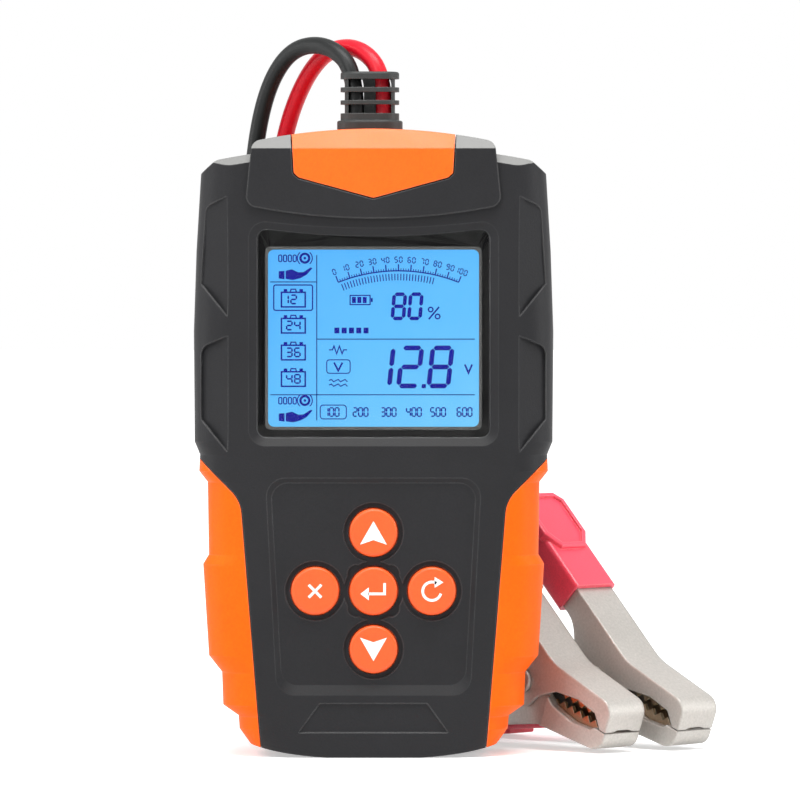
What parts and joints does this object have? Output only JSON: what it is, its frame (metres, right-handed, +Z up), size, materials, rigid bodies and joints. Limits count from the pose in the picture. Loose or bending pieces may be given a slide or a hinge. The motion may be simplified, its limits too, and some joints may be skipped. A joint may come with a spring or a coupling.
{
  "type": "handheld battery tester",
  "caption": "Upright handheld battery tester with a display window, round keys, side grips and two sprung clamps on flexible leads.",
  "frame": {"origin": "on the surface it stands on, below the middle of the case box, without leads and clamps", "axes": "+X to the right across the face, +Y from the face to the back, +Z up"},
  "size_m": [0.1378, 0.1293, 0.1886],
  "materials": {
    "case": "dark grey fine-textured ABS",
    "grip": "orange satin moulded grip",
    "trim": "orange satin moulded trim",
    "lens": "clear acrylic with a black printed border",
    "display": "blue backlit display glass",
    "white_plastic": "white diffuser plastic",
    "tray": "black moulded tray",
    "strip": "layered silicone contact strip",
    "key": "orange moulded key",
    "mat": "grey silicone",
    "board": "green lacquered circuit board",
    "dome": "plated steel dome",
    "chip": "black epoxy",
    "capacitor": "sleeved aluminium can",
    "resistor": "white cement body",
    "lug": "tinned brass",
    "screw": "zinc plated steel",
    "boot": "dark grey flexible PVC",
    "cable_black": "black soft PVC jacket",
    "cable_red": "red soft PVC jacket",
    "tie": "black nylon tie",
    "nickel": "nickel plated pressed steel",
    "spring": "spring steel wire",
    "contact": "nickel plated brass strip",
    "sleeve_black": "black soft PVC sleeve",
    "sleeve_red": "red soft PVC sleeve"
  },
  "bodies": {
    "root": {"board_screws": "screw", "buzzer": "chip", "cable_black": "cable_black", "cable_black_tail": "cable_black", "cable_boot": "boot", "cable_red": "cable_red", "cable_red_tail": "cable_red", "cable_tie": "tie", "case_screws": "screw", "clamp_black_lower_contact": "contact", "clamp_black_lower_lever": "nickel", "clamp_black_lower_sleeve": "sleeve_black", "clamp_black_rivet": "nickel", "clamp_black_spring": "spring", "clamp_red_lower_contact": "contact", "clamp_red_lower_lever": "nickel", "clamp_red_lower_sleeve": "sleeve_red", "clamp_red_rivet": "nickel", "clamp_red_spring": "spring", "coil_black": "cable_black", "coil_red": "cable_red", "contact_domes": "dome", "controller_chip": "chip", "cord_clamp_bar": "chip", "cord_clamp_screws": "screw", "display_backlight": "white_plastic", "display_contact_strips": "strip", "display_glass": "display", "display_tray": "tray", "driver_chips": "chip", "filter_capacitors": "capacitor", "front_cover": "case", "grip_left": "grip", "grip_right": "grip", "inner_lead_black": "cable_black", "inner_lead_red": "cable_red", "keypad_mat": "mat", "lead_lugs": "lug", "load_resistor": "resistor", "main_board": "board", "power_transistors": "chip", "rear_cover": "case", "top_trim": "trim", "window_lens": "lens"},
    "button_centre": {"button_centre": "key"},
    "button_down": {"button_down": "key"},
    "button_left": {"button_left": "key"},
    "button_right": {"button_right": "key"},
    "button_up": {"button_up": "key"},
    "jaw_black": {"clamp_black_upper_lever": "nickel", "clamp_black_upper_sleeve": "sleeve_black", "clamp_black_upper_contact": "contact", "clamp_black_spring_arm": "spring"},
    "jaw_red": {"clamp_red_upper_lever": "nickel", "clamp_red_upper_sleeve": "sleeve_red", "clamp_red_upper_contact": "contact", "clamp_red_spring_arm": "spring"}
  },
  "joints": [
    {"name": "button_centre_press", "type": "slide", "parent": "root", "child": "button_centre", "axis": [0, 1, 0], "range_m": [0, 0.001], "stiffness_N_per_m": 300},
    {"name": "button_down_press", "type": "slide", "parent": "root", "child": "button_down", "axis": [0, 1, 0], "range_m": [0, 0.001], "stiffness_N_per_m": 300},
    {"name": "button_left_press", "type": "slide", "parent": "root", "child": "button_left", "axis": [0, 1, 0], "range_m": [0, 0.001], "stiffness_N_per_m": 300},
    {"name": "button_right_press", "type": "slide", "parent": "root", "child": "button_right", "axis": [0, 1, 0], "range_m": [0, 0.001], "stiffness_N_per_m": 300},
    {"name": "button_up_press", "type": "slide", "parent": "root", "child": "button_up", "axis": [0, 1, 0], "range_m": [0, 0.001], "stiffness_N_per_m": 300},
    {"name": "jaw_black_open", "type": "hinge", "parent": "root", "child": "jaw_black", "pos_m": [0.0443, 0.0213, 0.01815], "axis": [-0.7071, -0.7071, 0], "range_deg": [0, 32], "stiffness_Nm_per_rad": 0.6, "springref_deg": -28.65},
    {"name": "jaw_red_open", "type": "hinge", "parent": "root", "child": "jaw_red", "pos_m": [0.0638, 0.0313, 0.01815], "axis": [-0.7071, -0.7071, 0], "range_deg": [0, 32], "stiffness_Nm_per_rad": 0.6, "springref_deg": -28.65}
  ]
}
